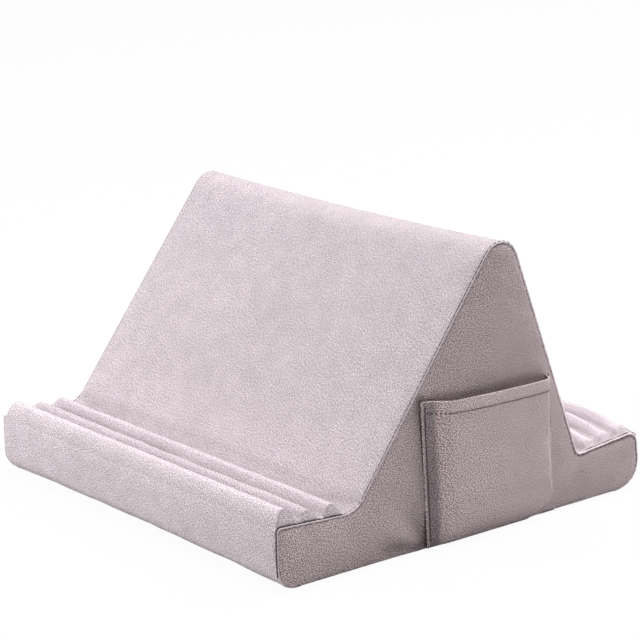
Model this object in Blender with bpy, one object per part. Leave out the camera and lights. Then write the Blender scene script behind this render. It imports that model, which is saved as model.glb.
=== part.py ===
"""Tablet cushion stand: one shaped block of foam in a sewn cloth cover.

Frame: X runs across the stand with the pocket on +X, the reader sits at -Y, Z is up. The origin
is the middle of the base, on the surface that the stand rests on. All lengths are in metres.

The cover's form comes from one side outline in the Y-Z plane. The side panels follow it with
straight ledges, and the foam and the top panel follow it with three ridges on each ledge.
"""
import math

import bmesh
import bpy
from mathutils import Vector

MM = 0.001

# Overall form
WIDTH = 260 * MM                 # across the outer faces of the side panels
DEPTH = 230 * MM                 # front edge to rear edge of the side outline
HEIGHT = 146.2 * MM              # base to the top of the rounded peak
FRONT_LEDGE_DEPTH = 47.5 * MM    # front edge to the foot of the front slope
REAR_LEDGE_DEPTH = 41.8 * MM     # rear edge to the foot of the rear slope
FRONT_SLOPE = math.radians(52.4)
PEAK_RADIUS = 11.2 * MM

# Side outline: heights of its corners and their roundings
FRONT_EDGE_HEIGHT = 32.6 * MM
FRONT_FOOT_HEIGHT = 29.6 * MM
REAR_FOOT_HEIGHT = 26.6 * MM
REAR_EDGE_HEIGHT = 30.4 * MM
FRONT_FACE_LEAN = 1.1 * MM       # the front face leans back by this much at its top
REAR_FACE_LEAN = 1.3 * MM
FRONT_BOTTOM_RADIUS = 15 * MM
REAR_BOTTOM_RADIUS = 19 * MM
FRONT_EDGE_RADIUS = 2.5 * MM
REAR_EDGE_RADIUS = 6 * MM
FRONT_FOOT_RADIUS = 10 * MM      # the cover and the side seam sweep up into the front slope
REAR_FOOT_RADIUS = 3 * MM

# Ridges: three on each ledge. Rises are those of the sharp form before its edges are rounded.
RIDGE_COUNT = 3
FRONT_RIDGE_PITCH = 14.1 * MM
FRONT_FIRST_CREST = 5.7 * MM     # front edge to the first crest
FRONT_FIRST_RISE = 12.0 * MM     # the first ridge stands higher, as the stop for the tablet
FRONT_RIDGE_RISE = 8.6 * MM
FRONT_VALLEY_RISE = 0.9 * MM
FRONT_VALLEY_OFFSET = 8.8 * MM   # crest to the valley behind it: the rear flanks are longer
FRONT_TROUGH_WIDTH = 6.4 * MM    # flat bottom between the last ridge and the front slope
REAR_RIDGE_PITCH = 11.2 * MM
REAR_FIRST_CREST = 9.8 * MM      # rear edge to the outermost crest
REAR_RIDGE_RISE = 9.6 * MM
REAR_VALLEY_RISE = 3.4 * MM
REAR_TROUGH_WIDTH = 4.0 * MM
CREST_RADIUS = 3.2 * MM
VALLEY_RADIUS = 1.8 * MM
REAR_RIDGE_END_LENGTH = 30 * MM  # the rear ridges sink towards the side seams over this length
REAR_RIDGE_END_SHARE = 0.45      # share of their rise that is left at the seam

# Cloth and seams
CLOTH = 1.2 * MM
GAP = 0.3 * MM                   # clearance between pieces that are sewn face to face
WELT_RADIUS = 0.65 * MM
MIN_RIDGE_END_HEIGHT = 0.8 * MM  # a ridge end piece stops where it would be lower than this

# Phone pocket: a patch on the right side panel, measured along Y from the front edge
POCKET_FRONT = 88.5 * MM
POCKET_WIDTH = 84.5 * MM
POCKET_BOTTOM = 0.6 * MM         # its lower edge is caught in the seam under the side panel
POCKET_FRONT_HEIGHT = 76.0 * MM  # height of the top edge at the pocket's front corner
POCKET_TOP_DROP = 2.5 * MM       # the top edge falls by this much towards the rear
POCKET_FLANGE = 3.2 * MM         # flat edge that is stitched down on the side panel
POCKET_FLARE = 7.5 * MM          # the face rises off the panel over this length
POCKET_ROOM = 7.6 * MM           # clear room behind the face
POCKET_FRONT_CORNER_RADIUS = 6 * MM
POCKET_REAR_CORNER_RADIUS = 14 * MM
POCKET_MIN_RADIUS = 2.5 * MM

# Fineness of the rounded corners, in straight steps
LARGE_RADIUS = 10 * MM
LARGE_STEPS = 8
CREST_STEPS = 5
SMALL_STEPS = 3
WELT_SIDES = 2                   # bevel resolution: 8 sides
FLARE_STEPS = 6

FRONT_Y = -DEPTH / 2
REAR_Y = DEPTH / 2
PANEL_INNER = WIDTH / 2 - CLOTH              # inner face of a side panel
TOP_PANEL_END = PANEL_INNER - GAP            # end of the foam and of the top panel
CORE_INSET = CLOTH + GAP
PANEL_INSET = 2 * WELT_RADIUS + GAP          # a side panel's edge lies inside its welt

COLOURS = {
    "cover_cloth": (0.60, 0.53, 0.55),
    "foam": (0.86, 0.84, 0.78),
}


def clear_scene():
    for obj in list(bpy.data.objects):
        bpy.data.objects.remove(obj, do_unlink=True)


def make_material(name, roughness):
    material = bpy.data.materials.new(name)
    material.use_nodes = True
    shader = material.node_tree.nodes["Principled BSDF"]
    shader.inputs["Base Color"].default_value = (*COLOURS[name], 1.0)
    shader.inputs["Roughness"].default_value = roughness
    shader.inputs["Metallic"].default_value = 0.0
    return material


# Outlines. A corner is (y, z, radius), listed clockwise as seen from +X, so inward is to the
# right of the direction of travel.

def inward(start, end):
    """Unit normal to the right of the edge from start to end."""
    along = (end - start).normalized()
    return Vector((along.y, -along.x))


def shift_corner(corner, normal_in, normal_out, inset_in, inset_out):
    """Where the two edges at a corner meet once each has moved inward by its inset."""
    det = normal_in.x * normal_out.y - normal_in.y * normal_out.x
    if abs(det) < 1e-6:
        return corner + normal_in * inset_in
    return corner + Vector((
        (inset_in * normal_out.y - inset_out * normal_in.y) / det,
        (inset_out * normal_in.x - inset_in * normal_out.x) / det,
    ))


def corner_steps(radius):
    if radius >= LARGE_RADIUS:
        return LARGE_STEPS
    return CREST_STEPS if radius >= CREST_RADIUS else SMALL_STEPS


def round_corner(corner, before, after, radius, steps):
    """Points of the arc that rounds a corner, from the edge before it to the edge after it."""
    way_in = (corner - before).normalized()
    way_out = (after - corner).normalized()
    turn = math.atan2(way_in.x * way_out.y - way_in.y * way_out.x, way_in.dot(way_out))
    if radius <= 0 or abs(turn) < 1e-4:
        return [corner.copy() for _ in range(steps + 1)]
    side = 1 if turn > 0 else -1
    start = corner - way_in * radius * math.tan(abs(turn) / 2)
    centre = start + Vector((-way_in.y, way_in.x)) * radius * side
    arm = start - centre
    points = []
    for step in range(steps + 1):
        angle = turn * step / steps
        points.append(centre + Vector((
            arm.x * math.cos(angle) - arm.y * math.sin(angle),
            arm.x * math.sin(angle) + arm.y * math.cos(angle),
        )))
    return points


def rounded_outline(corners, inset=0.0):
    """Each corner's arc, for the closed outline moved inward by inset."""
    places = [Vector(corner[:2]) for corner in corners]
    count = len(places)
    normals = [inward(places[i], places[(i + 1) % count]) for i in range(count)]
    moved = [shift_corner(places[i], normals[i - 1], normals[i], inset, inset)
             for i in range(count)]
    arcs = []
    for i, (_, _, radius) in enumerate(corners):
        before, here, after = places[i - 1], places[i], places[(i + 1) % count]
        cross = (here - before).cross(after - here)
        rounding = radius - inset if cross < 0 else radius + inset
        arcs.append(round_corner(moved[i], moved[i - 1], moved[(i + 1) % count],
                                 rounding, corner_steps(radius)))
    return arcs


def joined(arcs):
    return [point for arc in arcs for point in arc]


def ledge_height(y):
    """Height of the straight ledge of the side outline, in front of or behind the slopes."""
    if y < 0:
        share = (y - FRONT_Y) / FRONT_LEDGE_DEPTH
        return FRONT_EDGE_HEIGHT + share * (FRONT_FOOT_HEIGHT - FRONT_EDGE_HEIGHT)
    share = (REAR_Y - y) / REAR_LEDGE_DEPTH
    return REAR_EDGE_HEIGHT + share * (REAR_FOOT_HEIGHT - REAR_EDGE_HEIGHT)


def slope_corners():
    """Foot of the front slope, sharp peak, and foot of the rear slope."""
    front_foot = Vector((FRONT_Y + FRONT_LEDGE_DEPTH, FRONT_FOOT_HEIGHT))
    rear_foot = Vector((REAR_Y - REAR_LEDGE_DEPTH, REAR_FOOT_HEIGHT))
    up = Vector((math.cos(FRONT_SLOPE), math.sin(FRONT_SLOPE)))
    under = Vector((up.y, -up.x))
    # The peak's round touches the front slope and reaches HEIGHT.
    climb = (HEIGHT - PEAK_RADIUS - FRONT_FOOT_HEIGHT - PEAK_RADIUS * under.y) / up.y
    centre = front_foot + up * climb + under * PEAK_RADIUS
    # The rear slope touches the same round from its foot.
    to_centre = centre - rear_foot
    angle = math.atan2(to_centre.y, to_centre.x) - math.asin(PEAK_RADIUS / to_centre.length)
    rear_up = Vector((math.cos(angle), math.sin(angle)))
    between = rear_foot - front_foot
    reach = (between.x * rear_up.y - between.y * rear_up.x) / (up.x * rear_up.y - up.y * rear_up.x)
    return front_foot, front_foot + up * reach, rear_foot


FRONT_FOOT, PEAK, REAR_FOOT = slope_corners()
FRONT_TROUGH = FRONT_FOOT.x - FRONT_TROUGH_WIDTH     # where the last front ridge ends


def front_ridge_corners():
    """Crests and valleys of the front ledge, front to rear, ending at the trough."""
    corners = []
    for i in range(RIDGE_COUNT):
        crest = FRONT_Y + FRONT_FIRST_CREST + i * FRONT_RIDGE_PITCH
        rise = FRONT_FIRST_RISE if i == 0 else FRONT_RIDGE_RISE
        corners.append((crest, ledge_height(crest) + rise, CREST_RADIUS))
        if i < RIDGE_COUNT - 1:
            valley = crest + FRONT_VALLEY_OFFSET
            corners.append((valley, ledge_height(valley) + FRONT_VALLEY_RISE, VALLEY_RADIUS))
    corners.append((FRONT_TROUGH, ledge_height(FRONT_TROUGH), VALLEY_RADIUS))
    return corners


def rear_ridge_corners(share):
    """Trough, crests and valleys of the rear ledge, front to rear, at a share of their rise."""
    trough = REAR_FOOT.x + REAR_TROUGH_WIDTH
    corners = [(trough, ledge_height(trough), VALLEY_RADIUS)]
    for i in reversed(range(RIDGE_COUNT)):
        crest = REAR_Y - REAR_FIRST_CREST - i * REAR_RIDGE_PITCH
        corners.append((crest, ledge_height(crest) + share * REAR_RIDGE_RISE, CREST_RADIUS))
        if i > 0:
            valley = crest + REAR_RIDGE_PITCH / 2
            corners.append((valley, ledge_height(valley) + share * REAR_VALLEY_RISE,
                            VALLEY_RADIUS))
    return corners


def side_corners(front_ridges=(), rear_ridges=()):
    """The side outline, clockwise from the front bottom corner, with or without ridges."""
    return [
        (FRONT_Y, 0.0, FRONT_BOTTOM_RADIUS),
        (FRONT_Y + FRONT_FACE_LEAN, FRONT_EDGE_HEIGHT, FRONT_EDGE_RADIUS),
        *front_ridges,
        (*FRONT_FOOT, FRONT_FOOT_RADIUS),
        (*PEAK, PEAK_RADIUS),
        (*REAR_FOOT, REAR_FOOT_RADIUS),
        *rear_ridges,
        (REAR_Y - REAR_FACE_LEAN, REAR_EDGE_HEIGHT, REAR_EDGE_RADIUS),
        (REAR_Y, 0.0, REAR_BOTTOM_RADIUS),
    ]


def ridged_corners(x):
    """The side outline with its ridges at a station x across the stand."""
    from_seam = TOP_PANEL_END - abs(x)
    share = min(1.0, max(0.0, from_seam / REAR_RIDGE_END_LENGTH))
    ease = share * share * (3 - 2 * share)
    rear_share = REAR_RIDGE_END_SHARE + (1 - REAR_RIDGE_END_SHARE) * ease
    return side_corners(front_ridge_corners(), rear_ridge_corners(rear_share))


def stations():
    """Places across the stand where the ridged outline is drawn."""
    inner = [TOP_PANEL_END - REAR_RIDGE_END_LENGTH * k / 4 for k in range(5)]
    return [-x for x in inner] + inner[::-1]


# Solids

def finish_object(name, bm, material):
    bmesh.ops.recalc_face_normals(bm, faces=bm.faces)
    mesh = bpy.data.meshes.new(name)
    bm.to_mesh(mesh)
    bm.free()
    mesh.materials.append(material)
    mesh.shade_smooth()
    mesh.set_sharp_from_angle(angle=math.radians(35))
    obj = bpy.data.objects.new(name, mesh)
    bpy.context.scene.collection.objects.link(obj)
    return obj


def loft(name, sections, material, returns_at=None):
    """Closed solid through sections, each (x, outline) with equally many points.

    Every face between two sections is split along the same diagonal, and along the other one
    from the point where an outline runs back, so that solids drawn from one outline stay parallel.
    """
    bm = bmesh.new()
    rings = [[bm.verts.new((x, point.x, point.y)) for point in outline]
             for x, outline in sections]
    count = len(rings[0])
    for ring, following in zip(rings, rings[1:]):
        for i in range(count):
            j = (i + 1) % count
            if returns_at is None or i < returns_at:
                bm.faces.new((ring[i], ring[j], following[j]))
                bm.faces.new((ring[i], following[j], following[i]))
            else:
                bm.faces.new((ring[i], ring[j], following[i]))
                bm.faces.new((ring[j], following[j], following[i]))
    bm.faces.new(rings[0])
    bm.faces.new(rings[-1][::-1])
    return finish_object(name, bm, material)


def top_panel_outline(x):
    """Section of the top panel: outer face from front bottom to rear bottom, inner face back."""
    corners = ridged_corners(x)
    outer = joined(rounded_outline(corners))
    inner = joined(rounded_outline(corners, CLOTH))
    return outer + inner[::-1]


def base_edges():
    """Front and rear edge of the flat base panel, where the bottom corners begin to round."""
    arcs = rounded_outline(side_corners())
    return arcs[0][0].x + GAP, arcs[-1][-1].x - GAP


def ridge_end_outline(x, front):
    """Outline of the cloth between the side seam and the ridges, at one ledge."""
    edge = joined(rounded_outline(ridged_corners(x)))
    ledge = [p for p in edge if (p.x < FRONT_TROUGH if front else p.x > REAR_FOOT.x)]
    above = [p for p in ledge if p.y - ledge_height(p.x) > GAP + MIN_RIDGE_END_HEIGHT]
    first, last = above[0].x, above[-1].x
    top = [p for p in ledge if first <= p.x <= last and p.y > ledge_height(p.x) + GAP]
    bottom = [Vector((y, ledge_height(y) + GAP)) for y in (last, first)]
    return top + bottom


def make_welt(name, x, material):
    """Thin round seam line that runs round a side panel's edge."""
    arcs = rounded_outline(side_corners(), WELT_RADIUS)
    points = joined(arcs)
    curve = bpy.data.curves.new(name, "CURVE")
    curve.dimensions = "3D"
    curve.bevel_depth = WELT_RADIUS
    curve.bevel_resolution = WELT_SIDES
    spline = curve.splines.new("POLY")
    spline.points.add(len(points) - 1)
    for target, point in zip(spline.points, points):
        target.co = (x, point.x, point.y, 1.0)
    spline.use_cyclic_u = True
    curve.materials.append(material)
    obj = bpy.data.objects.new(name, curve)
    bpy.context.scene.collection.objects.link(obj)
    return obj


def pocket_ring(inset):
    """The pocket's U-shaped line at a distance inside its sewn edge, front top to rear top."""
    front = FRONT_Y + POCKET_FRONT
    rear = front + POCKET_WIDTH
    # Clockwise from the rear top corner: rear bottom, front bottom, front top.
    corners = [Vector((front, POCKET_FRONT_HEIGHT)),
               Vector((rear, POCKET_FRONT_HEIGHT - POCKET_TOP_DROP)),
               Vector((rear, POCKET_BOTTOM)),
               Vector((front, POCKET_BOTTOM))]
    insets = [0.0, inset, inset, inset]      # the open top edge stays where it is
    normals = [inward(corners[i], corners[(i + 1) % 4]) for i in range(4)]
    front_top, rear_top, rear_bottom, front_bottom = [
        shift_corner(corners[i], normals[i - 1], normals[i], insets[i - 1], insets[i])
        for i in range(4)]
    rear_radius = max(POCKET_REAR_CORNER_RADIUS - inset, POCKET_MIN_RADIUS)
    front_radius = max(POCKET_FRONT_CORNER_RADIUS - inset, POCKET_MIN_RADIUS)
    return [front_top,
            *round_corner(front_bottom, front_top, rear_bottom, front_radius, CREST_STEPS),
            *round_corner(rear_bottom, front_bottom, rear_top, rear_radius, CREST_STEPS),
            rear_top]


def make_pocket(material):
    """Patch pocket: flat sewn edge, flare, and a flat face that stands off the side panel."""
    bm = bmesh.new()
    inner_x = WIDTH / 2 + GAP
    rings = [[bm.verts.new((inner_x, p.x, p.y)) for p in pocket_ring(0.0)]]
    for step in range(FLARE_STEPS + 1):
        share = step / FLARE_STEPS
        rise = POCKET_ROOM * (1 - math.cos(math.pi * share)) / 2
        ring = pocket_ring(POCKET_FLANGE + POCKET_FLARE * share)
        rings.append([bm.verts.new((inner_x + rise, p.x, p.y)) for p in ring])
    for ring, following in zip(rings, rings[1:]):
        for i in range(len(ring) - 1):
            bm.faces.new((ring[i], ring[i + 1], following[i + 1], following[i]))
    bm.faces.new(rings[-1])
    for face in bm.faces:
        face.normal_update()
    if rings[-1][0].link_faces[-1].normal.x < 0:
        bmesh.ops.reverse_faces(bm, faces=bm.faces)
    mesh = bpy.data.meshes.new("phone_pocket")
    bm.to_mesh(mesh)
    bm.free()
    mesh.materials.append(material)
    mesh.shade_smooth()
    obj = bpy.data.objects.new("phone_pocket", mesh)
    bpy.context.scene.collection.objects.link(obj)
    wall = obj.modifiers.new("cloth", "SOLIDIFY")
    wall.thickness = CLOTH
    wall.offset = 1.0
    wall.use_even_offset = True
    return obj


def build():
    clear_scene()
    cloth = make_material("cover_cloth", 0.95)
    foam = make_material("foam", 0.9)

    loft("foam_core",
         [(x, joined(rounded_outline(ridged_corners(x), CORE_INSET))) for x in stations()],
         foam)
    panel_sections = [(x, top_panel_outline(x)) for x in stations()]
    loft("top_panel", panel_sections, cloth, returns_at=len(panel_sections[0][1]) // 2)

    front_edge, rear_edge = base_edges()
    base = [Vector((front_edge, 0)), Vector((front_edge, CLOTH)),
            Vector((rear_edge, CLOTH)), Vector((rear_edge, 0))]
    loft("base_panel", [(-TOP_PANEL_END, base), (TOP_PANEL_END, base)], cloth)

    panel = joined(rounded_outline(side_corners(), PANEL_INSET))
    for name, side in (("left", -1), ("right", 1)):
        faces = sorted((side * PANEL_INNER, side * WIDTH / 2))
        loft(f"{name}_side_panel", [(x, panel) for x in faces], cloth)
        make_welt(f"{name}_seam_welt", side * (PANEL_INNER + WELT_RADIUS), cloth)
        for ledge in ("front", "rear"):
            outline = ridge_end_outline(TOP_PANEL_END, ledge == "front")
            loft(f"ridge_end_{ledge}_{name}", [(x, outline) for x in faces], cloth)

    make_pocket(cloth)


build()
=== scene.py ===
import math

import bmesh
import bpy
from mathutils import Matrix, Vector


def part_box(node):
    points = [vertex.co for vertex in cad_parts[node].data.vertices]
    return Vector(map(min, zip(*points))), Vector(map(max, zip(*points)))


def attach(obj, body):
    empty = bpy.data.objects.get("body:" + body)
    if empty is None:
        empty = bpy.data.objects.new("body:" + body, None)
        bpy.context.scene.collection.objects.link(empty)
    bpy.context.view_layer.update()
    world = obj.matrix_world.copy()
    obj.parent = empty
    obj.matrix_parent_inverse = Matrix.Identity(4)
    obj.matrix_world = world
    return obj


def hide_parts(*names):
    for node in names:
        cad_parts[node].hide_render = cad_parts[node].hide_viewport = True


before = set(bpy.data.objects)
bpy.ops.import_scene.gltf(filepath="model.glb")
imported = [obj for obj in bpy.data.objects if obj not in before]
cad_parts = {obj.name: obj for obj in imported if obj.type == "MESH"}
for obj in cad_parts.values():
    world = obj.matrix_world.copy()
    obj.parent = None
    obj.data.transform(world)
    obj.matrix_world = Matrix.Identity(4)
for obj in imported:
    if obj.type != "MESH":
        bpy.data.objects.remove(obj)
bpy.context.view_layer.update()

bpy.ops.object.select_all(action="DESELECT")
MM = 0.001


# Foam core: one block of open-cell foam, cut to the stand's side outline with its ridges.
# It fills the cover and is what makes the stand stiff enough to lean things on.
FOAM_VOXEL = 3.0 * MM
FOAM_SLACK = 0.9 * MM            # the block is this much smaller than the room in its cover
FOAM_COLOUR = (0.83, 0.80, 0.72, 1.0)
CELL_COLOUR = (0.62, 0.58, 0.49, 1.0)
LEFT_SPLAY = 4.5 * MM            # the left end spreads by this much at the base
SPLAY_FROM = 60 * MM             # from here to the left end
SPLAY_LENGTH = 70 * MM
SPLAY_HEIGHT = 115 * MM          # where the spread has gone
SPLAY_FOOT = 0.25                # share of the spread right at the ground, where the end is rounded
SPLAY_FOOT_HEIGHT = 13 * MM


def new_object(name, data):
    """A new object at the origin, in the scene."""
    obj = bpy.data.objects.new(name, data)
    bpy.context.scene.collection.objects.link(obj)
    return obj


def copy_of_node(node, name):
    """A merged copy of a CAD node's mesh as a new object at the origin."""
    obj = new_object(name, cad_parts[node].data.copy())
    obj.data.materials.clear()
    bm = bmesh.new()
    bm.from_mesh(obj.data)
    bmesh.ops.remove_doubles(bm, verts=bm.verts, dist=0.01 * MM)
    bm.to_mesh(obj.data)
    bm.free()
    return obj


def apply(obj, kind, **settings):
    """Adds a modifier with these settings and applies it."""
    modifier = obj.modifiers.new(kind.lower(), kind)
    for key, value in settings.items():
        setattr(modifier, key, value)
    bpy.context.view_layer.objects.active = obj
    bpy.ops.object.modifier_apply(modifier=modifier.name)


def move_points(obj, move):
    """Moves each point of a mesh by move(place, normal)."""
    obj.data.update()
    places = [(v.co.copy(), v.normal.copy()) for v in obj.data.vertices]
    for vertex, (place, normal) in zip(obj.data.vertices, places):
        vertex.co = place + move(place, normal)
    obj.data.update()


def eased(share):
    """A share held between 0 and 1, with a soft start and end."""
    share = min(1.0, max(0.0, share))
    return share * share * (3 - 2 * share)


def splay(obj):
    """Widens the left end towards its base, where the soft block spreads as it stands."""
    for vertex in obj.data.vertices:
        share = eased((-vertex.co.x - SPLAY_FROM) / SPLAY_LENGTH)
        share *= SPLAY_FOOT + (1 - SPLAY_FOOT) * eased(vertex.co.z / SPLAY_FOOT_HEIGHT)
        vertex.co.x -= LEFT_SPLAY * (1 - vertex.co.z / SPLAY_HEIGHT) * share
    obj.data.update()


def new_material(name):
    """A new material with its nodes, links and shader."""
    material = bpy.data.materials.new(name)
    material.use_nodes = True
    nodes = material.node_tree.nodes
    return material, nodes, material.node_tree.links, nodes["Principled BSDF"]


def speckled(name, pattern, output, scale, dark, light, roughness):
    """A material with two colours along a fine pattern, and the pattern's node."""
    material, nodes, links, shader = new_material(name)
    shader.inputs["Roughness"].default_value = roughness
    place = nodes.new("ShaderNodeTexCoord")
    texture = nodes.new(pattern)
    texture.inputs["Scale"].default_value = scale
    tint = nodes.new("ShaderNodeMix")
    tint.data_type = "RGBA"
    tint.inputs["A"].default_value = dark
    tint.inputs["B"].default_value = light
    links.new(place.outputs["Object"], texture.inputs["Vector"])
    links.new(texture.outputs[output], tint.inputs["Factor"])
    links.new(tint.outputs["Result"], shader.inputs["Base Color"])
    return material, texture


def foam_material():
    """Pale foam with fine open cells."""
    material, cells = speckled("foam", "ShaderNodeTexVoronoi", "Distance", scale=900,
                               dark=CELL_COLOUR, light=FOAM_COLOUR, roughness=0.95)
    nodes, links = material.node_tree.nodes, material.node_tree.links
    bump = nodes.new("ShaderNodeBump")
    bump.inputs["Distance"].default_value = 0.4 * MM
    links.new(cells.outputs["Distance"], bump.inputs["Height"])
    links.new(bump.outputs["Normal"], nodes["Principled BSDF"].inputs["Normal"])
    return material


foam = copy_of_node("foam_core", "foam_block")
apply(foam, "REMESH", mode="VOXEL", voxel_size=FOAM_VOXEL)
apply(foam, "SMOOTH", factor=0.5, iterations=2)
move_points(foam, lambda place, normal: -FOAM_SLACK * normal)
splay(foam)
foam.data.shade_smooth()
foam.data.materials.append(foam_material())
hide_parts("foam_core")
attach(foam, "root")


# Top panel: one long piece of suede-like microfibre, laid from the front bottom edge up over the
# front face, the ridges, the slopes and the peak to the rear bottom edge. It is sewn to the side
# panels along its two long edges, and held down on the foam in the valleys between the ridges.
CLOTH = 0.9 * MM                 # thickness of the sheets
LONG_STEP = 4.6 * MM             # face length along the flat stretches
CORNER_STEPS = 6
# Corners of the cover's line from the front bottom edge to the rear bottom edge: Y, Z and radius
# in mm, once with the ridges and once as the straight edge that the side panels have.
FRONT_BOTTOM = [(-100, 0, 0), (-115, 0, 10.5), (-113.9, 32.6, 2.5)]
FRONT_RIDGES = [(-109.3, 43.9, 3.2), (-99.7, 32.2, 1.8), (-95.2, 38.6, 2.8), (-86.4, 30.5, 1.8),
                (-81.2, 38.8, 2.8), (-73.9, 30.0, 1.8)]
SLOPES = [(-67.5, 29.6, 10), (32.1, 158.9, 11.2), (73.2, 26.6, 3)]
SEAM_FOOT_ROUND = 14             # radius in mm of the side seam at the foot of the front slope
FOOT_MARGIN = 6                  # the front ledge's last groove ends this many mm up the slope
REAR_RIDGES = [(77.2, 27.0, 1.8), (82.8, 37.1, 2.2), (88.4, 31.4, 1.8), (94.0, 38.1, 2.2),
               (99.6, 32.4, 1.8), (105.2, 39.1, 2.6)]
REAR_BOTTOM = [(113.7, 30.4, 6), (115, 0, 15), (96, 0, 0)]
COVER_END = 129.2 * MM           # half the width of the cover, at its side seams
FRONT_END_LENGTH = {1: 0.8 * MM, -1: 8.5 * MM}   # the front ridges fall to the seam over this
CRISP_END = 4 * MM               # an end shorter than this is folded crisply, a longer one softly
REAR_END_LENGTH = 3.0 * MM
REAR_SINK_LENGTH = 32 * MM       # the rear ridges sink before that, over this length
REAR_SINK_SHARE = 0.45           # share of their height left where they fall to the seam
END_ROUND = 0.8                  # a softly folded end rises by a sine to this power
COLUMN_STEPS = (0.0, 0.3, 0.6, 0.8, 1.1, 1.7, 2.5, 3.6, 4.8, 6.2, 8.0, 10.5, 14, 18, 22.5, 27.5,
                33, *(39 + 6.5 * k for k in range(14)))     # mm from a seam
VALLEY_HOLD = 0.45               # share of a groove's radius over which the cloth is held down
RIDGE_LEVEL = 31 * MM            # above this height the cloth on the ledges lies on a ridge
RIDGE_CAP = 0.35 * MM            # the cloth swells by less than this there,
BROAD_CAP = 2.0 * MM             # and than this elsewhere
PUFF_FRAMES = 20
SEAM_DIP = 0.3 * MM              # the cloth dips by this much into a seam
SEAM_DIP_WIDTH = 3.0 * MM
PATTERN_START = 0.2              # metres across the flat cloth
CLOTH_COLOUR = (0.615, 0.540, 0.575)
VALLEY_PAINTED_SHADE = -0.12               # painted shade: the cloth is darker in the grooves, painted light: lighter on the ridges, painted highlight: most on their tops and where they fold down, painted shade: darker high up the slopes, painted light: lighter on the front ridges' ends; painted shade: behind, the whole ledge is darker, painted highlight: apart from the ridges' edges
CREST_PAINTED_LIGHT = 0.06                 # stands up and looks lighter on the ridges,
CREST_EDGE_PAINTED_HIGHLIGHT = 0.08            # most of all along their tops and where they are folded down,
SLOPE_PAINTED_SHADE = -0.07                # and is brushed down the slopes
END_PAINTED_LIGHT = 0.32                   # and up the ridges' ends
REAR_PAINTED_SHADE = -0.15                 # behind, the whole ledge is brushed down,
REAR_EDGE_PAINTED_HIGHLIGHT = 0.32             # apart from the ridges' edges
RIDGE_RISE = 7 * MM              # height above the seam where a ridge's painted light peaks
CREST_SHARE = 0.85               # share of that above which it is the ridge's top
END_EDGE = 0.7 * MM              # the ends' painted light reaches this far in from the front seam, and their painted highlight this far
END_FOLD = 1.0 * MM              # and this far for their light edge
SLOPE_PAINTED_SHADE_FROM = 40 * MM         # height where the painted shade on the slopes begins, and over which it grows to full
SLOPE_PAINTED_SHADE_RISE = 25 * MM         # and over which they get so
USUAL_NOISE = (0.3, 0.7)         # the range that a noise texture mostly keeps to
GRAIN_CHANGE = (-0.022, 0.024)   # Y between which the front's grain turns into the rear's
DARK_TUFT, LIGHT_TUFT = 0.4, 1.6    # brightness of the tufts, as a share of the cloth's
TUFT_SHIFT = 0.03                # the dark tufts are browner, the light ones greyer


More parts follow.
